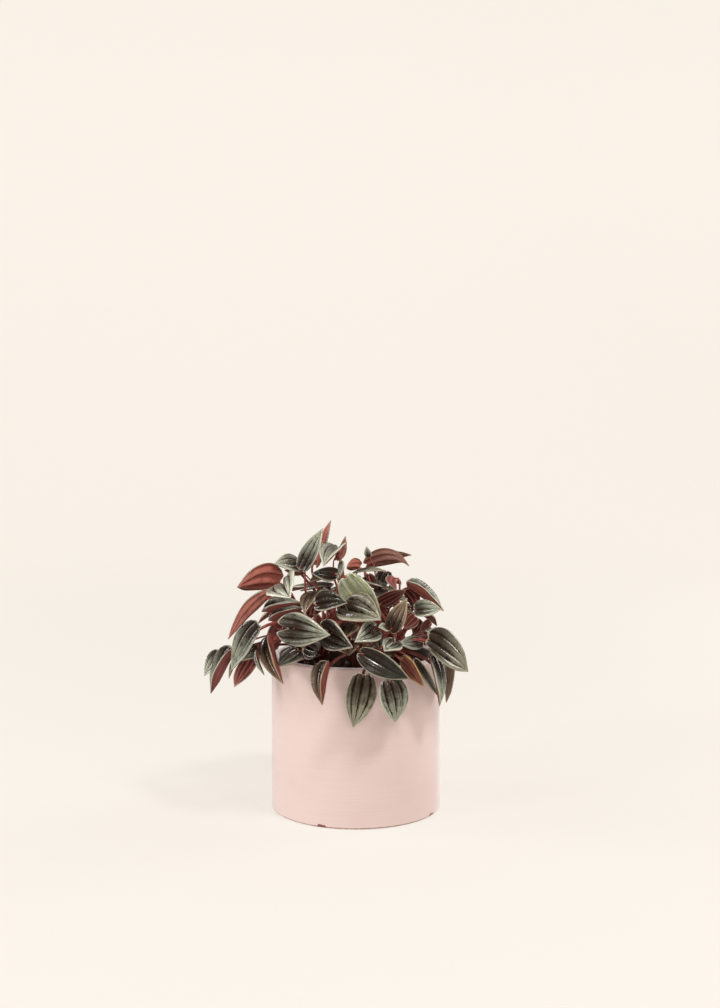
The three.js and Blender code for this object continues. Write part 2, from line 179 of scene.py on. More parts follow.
look = {0: paler, 6: colour(CHALKY_PINK), 7: colour(PALE_PINK)}
paint = add_node(tree, "ShaderNodeMix", look, **COLOURS).outputs[2]
worn = add_node(tree, "ShaderNodeMapRange", {0: blotches, 1: 0.45, 2: 0.75, 4: 0.35}, **SMOOTH).outputs[0]
paint = add_node(tree, "ShaderNodeMix", {0: worn, 6: paint, 7: colour(WORN_PINK)}, **COLOURS).outputs[2]
look = {"Vector": place, "Scale": 3 / CHIP_SIZE, "Detail": 4}
crumbling = add_node(tree, "ShaderNodeTexNoise", look).outputs["Fac"]
# Along the foot the paint turns brown: partly worn paint showing the clay, partly painted shade where the pot
# meets the floor.
worn_and_shaded_foot = add_node(tree, "ShaderNodeMapRange", {0: height, 1: 1.6 * MM, 2: 0.6 * MM}, **SMOOTH).outputs[0]
look = {0: crumbling, 1: 0.3, 2: 0.6, 3: 0.5, 4: 0.9}
broken = add_node(tree, "ShaderNodeMapRange", look, **SMOOTH).outputs[0]
bare_clay_and_foot_shade = add_node(tree, "ShaderNodeMath", {0: worn_and_shaded_foot, 1: broken}, **MULTIPLY).outputs[0]
for angle, width in CHIPS:
    middle = Vector((POT_RADIUS, 0, 0))
    middle.rotate(Matrix.Rotation(math.radians(angle), 3, "Z"))
    offset = add_node(tree, "ShaderNodeVectorMath", {0: place, 1: middle}, operation="SUBTRACT").outputs[0]
    spread = add_node(tree, "ShaderNodeVectorMath", {0: offset, 1: (1, 1, CHIP_SQUAT)}, **MULTIPLY).outputs[0]
    away = add_node(tree, "ShaderNodeVectorMath", {0: spread}, operation="LENGTH").outputs["Value"]
    rough = add_node(tree, "ShaderNodeMath", {0: crumbling, 1: 0.6 * width}, **MULTIPLY).outputs[0]
    ragged = add_node(tree, "ShaderNodeMath", {0: away, 1: rough}, **ADD).outputs[0]
    look = {0: ragged, 1: 0.85 * width, 2: 0.75 * width}
    chip = add_node(tree, "ShaderNodeMapRange", look, **SMOOTH).outputs[0]
    bare_clay_and_foot_shade = add_node(tree, "ShaderNodeMath", {0: bare_clay_and_foot_shade, 1: chip}, operation="MAXIMUM").outputs[0]
paint = add_node(tree, "ShaderNodeMix", {0: bare_clay_and_foot_shade, 6: paint, 7: colour(BROWN_CLAY)}, **COLOURS).outputs[2]
# The bare clay inside and underneath is made a dark brown.
level = add_node(tree, "ShaderNodeVectorMath", {0: place, 1: (1, 1, 0)}, **MULTIPLY).outputs[0]
from_axis = add_node(tree, "ShaderNodeVectorMath", {0: level}, operation="LENGTH").outputs["Value"]
look = {0: from_axis, 1: POT_INNER_RADIUS + RIM_EDGE / 2, 2: POT_INNER_RADIUS + RIM_EDGE / 8}
inner_wall = add_node(tree, "ShaderNodeMapRange", look, **SMOOTH).outputs[0]
paint = add_node(tree, "ShaderNodeMix", {0: inner_wall, 6: paint, 7: colour(INSIDE_CLAY_BROWN)}, **COLOURS).outputs[2]
look = {"Height": streaks, "Strength": 0.2, "Distance": 0.06 * MM}
brushed = add_node(tree, "ShaderNodeBump", look).outputs["Normal"]
look = {"Height": grain, "Strength": 0.2, "Distance": 0.05 * MM, "Normal": brushed}
dry = add_node(tree, "ShaderNodeBump", look).outputs["Normal"]
look = {0: streaks, 1: 0.3, 2: 0.7, 3: 0.4, 4: 0.52}
dullness = add_node(tree, "ShaderNodeMapRange", look, **SMOOTH).outputs[0]
look = {
    "Base Color": paint,
    "Roughness": dullness,
    "IOR": 1.5,
    "Specular IOR Level": 0.5,
    "Sheen Weight": 1.0,
    "Sheen Roughness": 0.35,
    "Normal": dry,
}
shader = add_node(tree, "ShaderNodeBsdfPrincipled", look).outputs["BSDF"]
add_node(tree, "ShaderNodeOutputMaterial", {"Surface": shader})

pot = new_piece("painted_pot", pot_mesh, [painted_clay])
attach(pot, "root")
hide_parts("pot")


# The potting soil: a filling of dark peat with crumbs of bark, pressed down to 11 mm below the rim and a
# little higher in the middle. It carries the crowns of the plant, and shows only between the leaves.
SOIL_RADIUS = 57.7 * MM
SOIL_BOTTOM = 9.3 * MM
SOIL_TOP = 108 * MM
SOIL_LUMP = 7 * MM
SOIL_LUMP_RISE = 1.2 * MM
SOIL_DISH = 1.5 * MM
SOIL_RINGS = 40
SOIL_STEPS = 120
CRUMB_COUNT = 420
CRUMB_SIZES = (0.8 * MM, 2.2 * MM)
SEED = 299

DARK_PEAT = "#2a1e18"
DRY_PEAT = "#4a382c"
BARK = "#6b4c37"


def draws(seed):
    """A plain repeatable draw from 0 to 1."""
    state = seed
    while True:
        state = state * 16807 % 2147483647
        yield state / 2147483647


def soil_surface(x, y):
    """The height of the lumpy soil at a place, lower towards the wall of the pot."""
    reach = math.hypot(x, y) / SOIL_RADIUS
    lumps = noise.fractal(Vector((x, y, 0)) / SOIL_LUMP, 0.7, 2.0, 3)
    return SOIL_TOP - SOIL_DISH * reach**3 + SOIL_LUMP_RISE * (lumps - 0.8)


soil_mesh = bmesh.new()
profile = [(0, SOIL_BOTTOM), (SOIL_RADIUS, SOIL_BOTTOM), (SOIL_RADIUS, SOIL_TOP - 8 * MM)]
profile += [(SOIL_RADIUS * (1 - at / SOIL_RINGS), SOIL_TOP) for at in range(SOIL_RINGS + 1)]
for vert in turn(soil_mesh, profile, SOIL_STEPS):
    if vert.co.z > SOIL_TOP - 1 * MM:
        vert.co.z = soil_surface(vert.co.x, vert.co.y)

draw = draws(SEED)
for _ in range(CRUMB_COUNT):
    away = (SOIL_RADIUS - 2 * MM) * math.sqrt(next(draw))
    turned_to = 2 * math.pi * next(draw)
    x, y = away * math.cos(turned_to), away * math.sin(turned_to)
    size = CRUMB_SIZES[0] + (CRUMB_SIZES[1] - CRUMB_SIZES[0]) * next(draw) ** 2
    seat = Matrix.Translation((x, y, soil_surface(x, y)))
    tumbled = Matrix.Rotation(6 * next(draw), 4, Vector((next(draw), next(draw), next(draw))))
    flat = Matrix.Diagonal((1, 0.5 + 0.5 * next(draw), 0.4 + 0.4 * next(draw), 1))
    bmesh.ops.create_icosphere(soil_mesh, subdivisions=1, radius=size, matrix=seat @ tumbled @ flat)

# Damp peat: nearly black, dull and crumbly, with paler dry fibres about 2 mm across and brown crumbs of bark.
FIBRE_SIZE = 2 * MM
BARK_SIZE = 5 * MM
peat, tree = new_material("damp_peat")
place = add_node(tree, "ShaderNodeTexCoord").outputs["Object"]
look = {"Vector": place, "Scale": 1 / FIBRE_SIZE, "Detail": 6, "Roughness": 0.7}
fibres = add_node(tree, "ShaderNodeTexNoise", look).outputs["Fac"]
look = {"Vector": place, "Scale": 1 / BARK_SIZE, "Detail": 3}
bark_bits = add_node(tree, "ShaderNodeTexNoise", look).outputs["Fac"]
dried = add_node(tree, "ShaderNodeMapRange", {0: fibres, 1: 0.45, 2: 0.7, 4: 0.8}, **SMOOTH).outputs[0]
look = {0: dried, 6: colour(DARK_PEAT), 7: colour(DRY_PEAT)}
earth = add_node(tree, "ShaderNodeMix", look, **COLOURS).outputs[2]
barky = add_node(tree, "ShaderNodeMapRange", {0: bark_bits, 1: 0.58, 2: 0.66, 4: 0.8}, **SMOOTH).outputs[0]
earth = add_node(tree, "ShaderNodeMix", {0: barky, 6: earth, 7: colour(BARK)}, **COLOURS).outputs[2]
look = {"Height": fibres, "Strength": 0.8, "Distance": 0.8 * MM}
crumbly = add_node(tree, "ShaderNodeBump", look).outputs["Normal"]
look = {0: fibres, 1: 0.3, 2: 0.7, 3: 0.85, 4: 0.98}
dullness = add_node(tree, "ShaderNodeMapRange", look, **SMOOTH).outputs[0]
look = {
    "Base Color": earth,
    "Roughness": dullness,
    "IOR": 1.5,
    "Specular IOR Level": 0.25,
    "Normal": crumbly,
}
shader = add_node(tree, "ShaderNodeBsdfPrincipled", look).outputs["BSDF"]
add_node(tree, "ShaderNodeOutputMaterial", {"Surface": shader})

soil = new_piece("potting_soil", soil_mesh, [peat])
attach(soil, "root")
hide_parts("soil")


# The nine leafy stems: each is a short fleshy crown rooted in the soil, and from it spring juicy pink-red
# leaf stalks about 2 mm thick, each with one heart-shaped, deeply furrowed leaf about 0.9 mm thick. They are
# living plant: a leaf's stalk joins its underside at the notch of the heart.
STEMS = {
    "centre": (-4, 2),
    "front": (2, -34),
    "front_left": (-26, -24),
    "left": (-36, 2),
    "back_left": (-24, 30),
    "back": (4, 38),
    "back_right": (28, 24),
    "right": (36, -4),
    "front_right": (26, -30),
}

# The leaves that show from the front, in millimetres: the joint with the leaf stalk, the tip, the width,
# the way the upper face looks (degrees from the front towards the right, degrees up), how far the halves fold
# up, how far the blade arches over, how far its lobes reach back as a share of its length, and its colouring.
FRONT_LEAVES = {
    "centre": [
        ((-30, -8, 190), (-19, -16, 223), 18, (110, -5), 0, 0, 0.1, "salmon"),
        ((-14, -18, 199), (-24, -38, 191), 28, (-30, 55), 45, 15, 0.25, "pale"),
        ((-15, -14, 194), (-8, -8, 210), 12, (130, 5), 30, 5, 0.1, "pink"),
        ((-44, -7, 186), (-62, -17, 190), 22, (-5, 50), 25, 15, 0.1, "silver"),
        ((0, -10, 183), (23, -32, 186), 9, (-5, 70), 10, 25, 0.1, "olive"),
        ((-40, -10, 183), (-54, -16, 185), 12, (180, 40), 10, 20, 0.1, "silver"),
    ],
    "front": [
        ((24, -81, 113), (28, -74, 82), 24, (25, 20), 10, 60, 0.1, "silver"),
        ((5, -79, 133), (39, -76, 114), 20, (-30, 15), 30, 45, 0.1, "charcoal"),
        ((-19, -73, 124), (-24, -80, 96), 26, (-65, 60), 55, 10, 0.1, "brown"),
        ((11, -69, 147), (-1, -83, 142), 19, (10, 20), 30, 30, 0.4, "silver"),
        ((27, -74, 139), (20, -86, 136), 15, (20, 60), 10, 5, 0.4, "silver"),
        ((18, -42, 164), (37, -49, 175), 12, (185, 20), 0, 5, 0.1, "maroon"),
        ((26, -66, 149), (37, -65, 171), 14, (-5, 30), 10, 25, 0.15, "brown"),
        ((55, -55, 123), (61, -61, 91), 26, (75, 50), 25, 20, 0.2, "silver"),
        ((43, -71, 126), (60, -59, 98), 9, (-15, 40), 45, 0, 0.1, "dark"),
        ((-36, -72, 137), (-28, -58, 131), 18, (-10, 10), 35, 20, 0.25, "dark"),
        ((22, -66, 149), (16, -72, 151), 8, (0, 40), 20, 15, 0.1, "silver"),
    ],
    "front_left": [
        ((-61, -58, 140), (-52, -78, 111), 26, (-95, 45), 55, 10, 0.1, "brown"),
        ((-17, -71, 147), (-2, -87, 139), 26, (-15, -10), 30, -5, 0.4, "inky"),
        ((-4, -65, 161), (18, -79, 157), 35, (0, 50), 30, 10, 0.3, "olive"),
        ((-6, -51, 183), (19, -49, 155), 28, (-40, 15), 25, 20, 0.1, "lime"),
        ((-28, -70, 166), (-6, -69, 168), 22, (5, 50), 30, 35, 0.1, "inky"),
        ((-28, -49, 171), (-37, -64, 159), 21, (-40, 10), 35, 25, 0.15, "brown"),
        ((-15, -32, 184), (-33, -26, 184), 13, (-5, 40), 0, 20, 0.15, "inky"),
        ((-11, -30, 193), (-12, -32, 181), 11, (-65, -15), 0, 10, 0.1, "silver"),
        ((-42, -63, 132), (-56, -71, 122), 17, (-10, 55), 5, 30, 0.1, "dark"),
    ],
    "left": [
        ((-70, -63, 149), (-91, -54, 116), 27, (-30, 35), 40, 0, 0.1, "silver"),
        ((-92, -31, 125), (-110, -22, 92), 26, (-25, 65), 55, -5, 0.1, "silver"),
        ((-59, -9, 175), (-88, -38, 175), 32, (190, 30), 30, 30, 0.1, "salmon"),
        ((-53, -41, 176), (-47, -66, 171), 31, (-30, 35), 30, 20, 0.3, "pale"),
        ((-66, -30, 167), (-95, -37, 136), 22, (-120, 20), 25, 20, 0.15, "blush"),
        ((-44, -79, 151), (-18, -87, 148), 25, (15, -5), 10, 5, 0.45, "silver"),
        ((-63, -43, 158), (-40, -53, 166), 19, (-40, 60), 55, 15, 0.25, "silver"),
        ((-61, -38, 150), (-38, -40, 160), 18, (-50, 70), 55, 0, 0.15, "silver"),
        ((-39, -26, 188), (-25, -18, 217), 17, (-25, 10), 30, 0, 0.1, "silver"),
        ((-86, -26, 124), (-95, -34, 106), 10, (-70, 20), 30, 20, 0.1, "silver"),
        ((-73, -46, 128), (-67, -56, 113), 9, (-85, 10), 30, 20, 0.1, "silver"),
        ((-73, -34, 129), (-84, -44, 121), 15, (-10, 45), 10, 20, 0.1, "dark"),
    ],
    "back_left": [
        ((-79, -28, 120), (-89, -56, 104), 16, (160, 25), 10, 0, 0.1, "silver"),
        ((-106, 4, 118), (-117, 0, 101), 14, (-20, 30), 15, 20, 0.1, "silver"),
    ],
    "back_right": [
        ((71, -28, 118), (68, -27, 86), 17, (110, 0), 5, 5, 0.1, "mossy"),
    ],
    "right": [
        ((10, 15, 186), (40, -14, 188), 20, (190, 25), 30, 70, 0.1, "plum"),
        ((15, 17, 191), (43, 15, 193), 12, (155, 40), 5, 20, 0.1, "plum"),
        ((2, 7, 185), (-7, -4, 186), 14, (205, 20), 40, 30, 0.35, "salmon"),
        ((10, -24, 182), (16, -22, 170), 8, (145, 5), 5, 15, 0.15, "maroon"),
        ((23, -14, 183), (17, -20, 170), 14, (-20, 25), 20, 15, 0.1, "inky"),
        ((10, 4, 193), (8, 2, 201), 6, (-20, 20), 15, 10, 0.1, "silver"),
    ],
    "front_right": [
        ((5, -81, 117), (-2, -73, 78), 26, (10, 10), 30, 15, 0.1, "olive"),
        ((30, -24, 180), (30, -37, 173), 17, (-100, -10), 55, 25, 0.1, "silver"),
        ((37, -17, 169), (43, -33, 160), 16, (180, 15), 50, 70, 0.15, "maroon"),
        ((39, -19, 173), (66, -22, 155), 24, (50, 75), 55, -5, 0.1, "pale"),
        ((44, -48, 159), (63, -48, 160), 17, (5, 45), 25, 20, 0.1, "silver"),
        ((53, -63, 140), (83, -44, 113), 31, (35, 30), 25, 20, 0.1, "olive"),
        ((35, -72, 127), (49, -79, 109), 16, (155, 40), 0, 0, 0.15, "rust"),
        ((47, -53, 137), (31, -61, 137), 12, (10, 40), 0, 0, 0.15, "silver"),
        ((49, -40, 149), (42, -46, 141), 12, (180, 25), 15, 20, 0.1, "maroon"),
        ((55, -46, 150), (47, -50, 144), 9, (180, 35), 15, 20, 0.1, "maroon"),
        ((43, -56, 156), (35, -60, 148), 12, (175, 10), 10, 20, 0.1, "maroon"),
    ],
}

# The leaves at the back and inside follow rings round the plant's middle: the stems that they grow on in
# turn, the arc (degrees from +X), the joint's and the tip's (radius, height), the width, how far up they
# look, and their fold, arch, lobes and colourings.
RING_MIDDLE = (-6, 0)
BACK_COLOURINGS = ("silver", "olive", "silver", "brown", "pale")
# The inner rings take the darker colourings: partly the leaves' own colour, partly painted shade deep inside
# the plant.
INNER_COLOURINGS = ("dark", "brown", "maroon")
RINGS = [
    {
        "stems": ["back_right", "centre", "back", "back", "back", "back_left", "back_left", "back_left"],
        "arc": (22, 150), "joint": (74, 128), "tip": (82, 96), "width": 23, "up": 15,
        "fold": 12, "arch": 25, "lobe": 0.2,
        "colourings": BACK_COLOURINGS,
    },
    {
        "stems": [
            "back_right", "back_right", "centre", "back", "back", "back_left", "back_left", "back_left",
        ],
        "arc": (-10, 165), "joint": (52, 146), "tip": (76, 130), "width": 24, "up": 45,
        "fold": 14, "arch": 25, "lobe": 0.25,
        "colourings": BACK_COLOURINGS,
    },
    {
        "stems": ["right", "right", "back", "back", "back_left", "centre"],
        "arc": (-10, 160), "joint": (28, 166), "tip": (56, 160), "width": 23, "up": 60,
        "fold": 12, "arch": 25, "lobe": 0.25,
        "colourings": BACK_COLOURINGS,
    },
    {
        "stems": ["front_left", "front_left", "front"],
        "arc": (205, 325), "joint": (26, 140), "tip": (50, 132), "width": 22, "up": 40,
        "fold": 15, "arch": 20, "lobe": 0.2,
        "colourings": INNER_COLOURINGS,
    },
    {
        "stems": ["centre", "centre", "front_left", "right", "right"],
        "arc": (150, 390), "joint": (16, 174), "tip": (38, 170), "width": 20, "up": 55,
        "fold": 12, "arch": 20, "lobe": 0.2,
        "colourings": INNER_COLOURINGS,
    },
    {
        "stems": ["front_left", "front", "front_right"],
        "arc": (195, 345), "joint": (34, 124), "tip": (54, 121), "width": 20, "up": 45,
        "fold": 12, "arch": 20, "lobe": 0.2,
        "colourings": INNER_COLOURINGS,
    },
    {
        "stems": ["left", "centre", "centre", "right", "right"],
        "arc": (175, 365), "joint": (34, 163), "tip": (52, 156), "width": 19, "up": 45,
        "fold": 14, "arch": 20, "lobe": 0.2,
        "colourings": INNER_COLOURINGS,
    },
]

# How a leaf is coloured: the ridges and the furrows of its upper face, its pale rim and its underside, how
# strongly its furrows are striped and cut, and how dark it is round the joint. The silvery ridge colours are
# partly the leaf's own and partly painted sheen. The dark, inky and maroon colourings are partly the leaves'
# own colour and partly painted shade, for leaves that sit deep in the plant's shade.
TINTS = ("ridge", "furrow", "rim", "under")
COLOURED_BY = (*TINTS, "stripes", "heart")
COLOURINGS = {
    "silver": ("#9c9f8f", "#321b10", "#b9bbaa", "#7f4640", 1.0, 0.92),
    "charcoal": ("#35342d", "#17100b", "#aaa591", "#8a4340", 0.25, 0.7),
    "olive": ("#95937f", "#341c10", "#adaa94", "#7f4640", 0.95, 0.92),
    "dark": ("#605e53", "#1e110a", "#989482", "#5a2e2a", 1.0, 0.9),
    "inky": ("#39372f", "#140c08", "#a5a28f", "#5a2e2a", 0.8, 0.9),
    "pale": ("#b3b4a4", "#4a3c31", "#d0d1c2", "#96594d", 0.8, 0.6),
    "pink": ("#978679", "#4d342c", "#b3a092", "#945d54", 0.7, 0.5),
    "lime": ("#8b907a", "#cbca9a", "#cbcaad", "#a4886a", 1.0, 0.12),
    "brown": ("#7a6550", "#2a140b", "#a09078", "#7b3d35", 0.9, 0.9),
    "rust": ("#74493a", "#321712", "#cdb660", "#6b3729", 0.8, 0.6),
    # The salmon and blush undersides are partly the leaf's own red and partly painted light shining through
    # the thin leaf from behind.
    "salmon": ("#828370", "#2a1c16", "#aeab97", "#ae6558", 1.0, 0.9),
    "blush": ("#828370", "#2a1c16", "#aeab97", "#b87467", 1.0, 0.9),
    "maroon": ("#5c5649", "#211410", "#8a7b6a", "#552620", 1.0, 0.9),
    "mossy": ("#7a7a69", "#241913", "#a8a48f", "#7a6d5c", 1.0, 0.9),
    "plum": ("#6b6556", "#241712", "#907f6d", "#8e6054", 0.8, 0.9),
}

BLADE_THICKNESS = 0.9
RIM_THICKNESS = 0.45
FURROW_PITCH = 0.56
FURROW_DEPTH = 0.05
FINE_FURROW_DEPTH = 0.012
PUCKER_PITCH = 2.6
PUCKER_DEPTH = 0.24
JOINT_ROUNDING = 0.12
TIP_TAPER = 1.1
NOTCH_DEPTH = 0.65
NOTCH_WIDTH = 0.2
WAVE_DEPTH = 0.012
STALK_RADIUS = 1.1
STALK_SHARE = 0.045
CROWN_RADIUS = 5
CROWN_RISE = 6
CROWN_DEPTH = 12
CROWN_STEPS = 28
UPPER, UNDER, STALK = range(3)


def unit(vector):
    return vector / np.linalg.norm(vector)


def ring_leaves(ring, draw):
    """The leaves of one ring, each a little off its even place and every other one higher."""
    count = len(ring["stems"])
    start, end = ring["arc"]
    for at, stem in enumerate(ring["stems"]):
        angle = start + (end - start) * (at + 0.5) / count + (next(draw) - 0.5) * 10
        outer = (next(draw) - 0.5) * 6
        higher = (next(draw) - 0.5) * 6 + (at % 2 - 0.5) * 9
        width = ring["width"] * (0.9 + 0.25 * next(draw))
        swing = (next(draw) - 0.5) * 20
        up = ring["up"] + (next(draw) - 0.5) * 20
        ends = []
        for (radius, height), turned_to in ((ring["joint"], angle), (ring["tip"], angle + swing / 2)):
            x = RING_MIDDLE[0] + (radius + outer) * math.cos(math.radians(turned_to))
            y = RING_MIDDLE[1] + (radius + outer) * math.sin(math.radians(turned_to))
            ends.append((x, y, height + higher))
        colouring = ring["colourings"][at % len(ring["colourings"])]
        looks = (angle + 90 + swing, up)
        yield stem, (*ends, width, looks, ring["fold"], ring["arch"], ring["lobe"], colouring)


def make_leaf(row):
    """A leaf with its own directions: along it, across it, and out of its upper face."""
    joint, tip, width, looks, fold, arch, lobe, colouring = row
    joint, tip = np.array(joint, float), np.array(tip, float)
    along = unit(tip - joint)
    side, up = (math.radians(angle) for angle in looks)
    face = np.array([math.sin(side) * math.cos(up), -math.cos(side) * math.cos(up), math.sin(up)])
    out = unit(face - along * (face @ along))
    return {
        "joint": joint,
        "along": along,
        "out": out,
        "across": np.cross(out, along),
        "length": float(np.linalg.norm(tip - joint)),
        "width": width,
        "fold": math.radians(fold),
        "arch": math.radians(arch),
        "lobe": lobe,
        "colouring": dict(zip(COLOURED_BY, COLOURINGS[colouring])),
    }


def blade_points(leaf, t, s):
    """Points in the middle of a blade's thickness, at t along it (0 lobes, 1 tip) and s across it (-1 to 1),
    and how far each lies from the joint and in from the edge. The half-width is a formula that is widest near
    the joint, the halves fold up and roll off towards the edge, the blade arches from joint to tip, and
    furrows run along it between raised ridges, which shallow puckers cross.
    """
    length, width, lobe = leaf["length"], leaf["width"], leaf["lobe"]
    fullness = 0.75 - lobe
    widest = max(0, (fullness - JOINT_ROUNDING * TIP_TAPER) / (fullness + TIP_TAPER))

    def outline(at):
        return (at + JOINT_ROUNDING) ** fullness * (1 - at) ** TIP_TAPER

    half = width / 2 * outline(t) / outline(widest)
    notch = 1 - NOTCH_DEPTH * np.exp(-((s / NOTCH_WIDTH) ** 2))
    back = lobe * length * np.sqrt(np.maximum(0, 1 - s * s)) * notch
    u = length * t - back * (1 - t) ** 2
    share = u / length
    sag = math.tan(leaf["arch"] / 4) / 2
    lift = math.tan(math.radians(60 * lobe - 8))
    arch = 4 * sag * share * (1 - share) * length + np.where(u < 0, -u * lift, 0)
    edge = np.abs(s)
    fade = np.minimum(np.minimum(1, t / 0.15 + 0.3), (1 - t) / 0.3)
    relief = fade * leaf["colouring"]["stripes"]
    furrow = -FURROW_DEPTH * width * np.cos(2 * math.pi * s / FURROW_PITCH) * relief
    fine = -FINE_FURROW_DEPTH * width * np.cos(4 * math.pi * s / FURROW_PITCH) * relief
    ridge = 0.5 - 0.5 * np.cos(2 * math.pi * s / FURROW_PITCH)
    slant = 1.6 * edge * width / PUCKER_PITCH + leaf["phase"]
    uneven = 0.55 + 0.45 * np.sin(8 * t + 5 * s + leaf["phase"])
    slant = slant + 1.5 * np.sin(5 * t + 2 * s)
    puckers = PUCKER_DEPTH * np.sin(2 * math.pi * u / PUCKER_PITCH - slant) * ridge * relief * uneven
    puckers = puckers * (1 - edge**6) * min(1, width / 24)
    wave = WAVE_DEPTH * width * np.sin(9 * t + leaf["phase"] + np.sign(s)) * edge**3
    rise = half * (edge * math.sin(leaf["fold"]) - 0.22 * edge * edge + 0.07)
    rise = rise + furrow + fine + puckers + wave * fade
    lateral = half * s * math.cos(leaf["fold"])
    points = (
        leaf["joint"]
        + u[:, None] * leaf["along"]
        + lateral[:, None] * leaf["across"]
        + (arch + rise)[:, None] * leaf["out"]
    )
    from_joint = np.hypot(u, half * s)
    inset = np.minimum(half * (1 - edge), length * t + back * (1 - (1 - t) ** 2))
    return points, from_joint, inset


def blade_normals(leaf, t, s):
    """The directions square to the blade's upper face at these points of it."""
    step = 0.001
    at_t, at_s = np.clip(t, 0.02, 0.97), np.clip(s, -0.97, 0.97)
    along_it = blade_points(leaf, at_t + step, at_s)[0] - blade_points(leaf, at_t - step, at_s)[0]
    across_it = blade_points(leaf, at_t, at_s + step)[0] - blade_points(leaf, at_t, at_s - step)[0]
    normals = np.cross(along_it, across_it)
    normals /= np.linalg.norm(normals, axis=1)[:, None]
    return normals * np.sign(normals @ leaf["out"])[:, None]


def add_blade(bm, layers, leaf, rows, columns):
    """A flat grid, thickened by an extrusion and then bent to the leaf's form."""
    grid = bmesh.ops.create_grid(bm, x_segments=rows, y_segments=columns, size=1)["verts"]
    lower_faces = list(dict.fromkeys(face for vert in grid for face in vert.link_faces))
    raised = bmesh.ops.extrude_face_region(bm, geom=lower_faces, use_keep_orig=True)["geom"]
    upper = [item for item in raised if isinstance(item, bmesh.types.BMVert)]
    verts = grid + upper
    upper = set(upper)
    flat = np.array([vert.co[:] for vert in verts])
    t = (flat[:, 0] + 1) / 2
    s = 0.6 * flat[:, 1] + 0.4 * np.sin(math.pi / 2 * flat[:, 1])
    side = np.array([1 if vert in upper else -1 for vert in verts])
    middles, from_joint, inset = blade_points(leaf, t, s)
    thickness = RIM_THICKNESS + (BLADE_THICKNESS - RIM_THICKNESS) * np.clip(inset / 1.5, 0, 1) ** 0.5
    points = middles + (side * thickness / 2)[:, None] * blade_normals(leaf, t, s)
    for vert, point, at_s, away, inside in zip(verts, points, s, from_joint, inset):
        vert.co = point * MM
        vert[layers["place"]] = (leaf["colouring"]["heart"], at_s, inside)
        vert[layers["joint"]] = (away, away / leaf["length"], leaf["colouring"]["stripes"])
        for part in TINTS:
            vert[layers[part]] = leaf["tints"][part]
    for face in {face for vert in verts for face in vert.link_faces}:
        face.material_index = UPPER if any(vert in upper for vert in face.verts) else UNDER
    tips = [vert for vert, at_t in zip(verts, t) if at_t > 0.9999]
    bmesh.ops.remove_doubles(bm, verts=tips, dist=0.001 * MM)


def stalk_mesh(stalks):
    """The stalks as round tubes along smooth curves, made a mesh."""
    curve = bpy.data.curves.new("stalk_paths", "CURVE")
    curve.dimensions = "3D"
    curve.resolution_u = 14
    curve.bevel_depth = MM
    curve.bevel_resolution = 3
    curve.use_fill_caps = True
    for end, arriving, rising, root, radius in stalks:
        spline = curve.splines.new("BEZIER")
        spline.bezier_points.add(1)
        blade_end, root_end = spline.bezier_points
        for point in (blade_end, root_end):
            point.handle_left_type = point.handle_right_type = "FREE"
        blade_end.co = blade_end.handle_left = Vector(end * MM)
        blade_end.handle_right = Vector(arriving * MM)
        root_end.co = root_end.handle_right = Vector(root * MM)
        root_end.handle_left = Vector(rising * MM)
        blade_end.radius, root_end.radius = radius, radius * 1.15
    holder = bpy.data.objects.new("stalk_paths", curve)
    bpy.context.scene.collection.objects.link(holder)
    mesh = bpy.data.meshes.new_from_object(holder.evaluated_get(bpy.context.evaluated_depsgraph_get()))
    bpy.data.objects.remove(holder)
    bpy.data.curves.remove(curve)
    return mesh


def stalk_path(leaf, place):
    """The smooth path of a leaf's stalk, from the underside of its blade to its root in the crown."""
    outwards = unit(np.array([leaf["joint"][0] - place[0], leaf["joint"][1] - place[1], 0]))
    root = np.array([*place, SOIL_TOP / MM + 2]) + 2.5 * outwards
    reach = np.linalg.norm(leaf["joint"] - root)
    rising = root + 0.06 * reach * outwards + np.array([0, 0, 0.5 * reach])
    under = min(0.15 * reach, 0.45 * leaf["length"])
    behind = min(0.18 * reach, 0.3 * leaf["length"])
    arriving = leaf["joint"] - under * leaf["out"] - behind * leaf["along"]
    radius = min(STALK_RADIUS, STALK_SHARE * leaf["width"])
    end = leaf["joint"] - 0.5 * radius * leaf["out"] + 0.04 * leaf["length"] * leaf["along"]
    return end, arriving, rising, root, radius


def add_crown(bm, place):
    """The crown, a short stem turned about its own axis and then made uneven."""
    waist = CROWN_RISE / 2
    base = SOIL_TOP / MM
    profile = [(0, base - CROWN_DEPTH), (CROWN_RADIUS, base - CROWN_DEPTH)]
    profile += [(CROWN_RADIUS, base + waist * at / 6 - waist / 2) for at in range(8)]
    profile += rounded((0, base + waist - 1), CROWN_RADIUS - 0.2, 10, 90, 6)
    for vert in turn(bm, [(radius * MM, height * MM) for radius, height in profile], CROWN_STEPS):
        bump = 1 - 0.12 * (0.5 + 0.5 * math.sin(5 * math.atan2(vert.co.y, vert.co.x)))
        vert.co.x, vert.co.y = vert.co.x * bump, vert.co.y * bump
        vert.co += Vector((*place, 0)) * MM


def furrow_shade(tree, across, pitch, start):
    """How deep in a furrow a place across the blade is, from 0 on a ridge to 1 in the furrow."""
    turns = add_node(tree, "ShaderNodeMath", {0: across, 1: 2 * math.pi / pitch}, **MULTIPLY).outputs[0]
    wave = add_node(tree, "ShaderNodeMath", {0: turns}, operation="COSINE").outputs[0]
    return add_node(tree, "ShaderNodeMapRange", {0: wave, 1: start, 2: 1.0}, **SMOOTH).outputs[0]


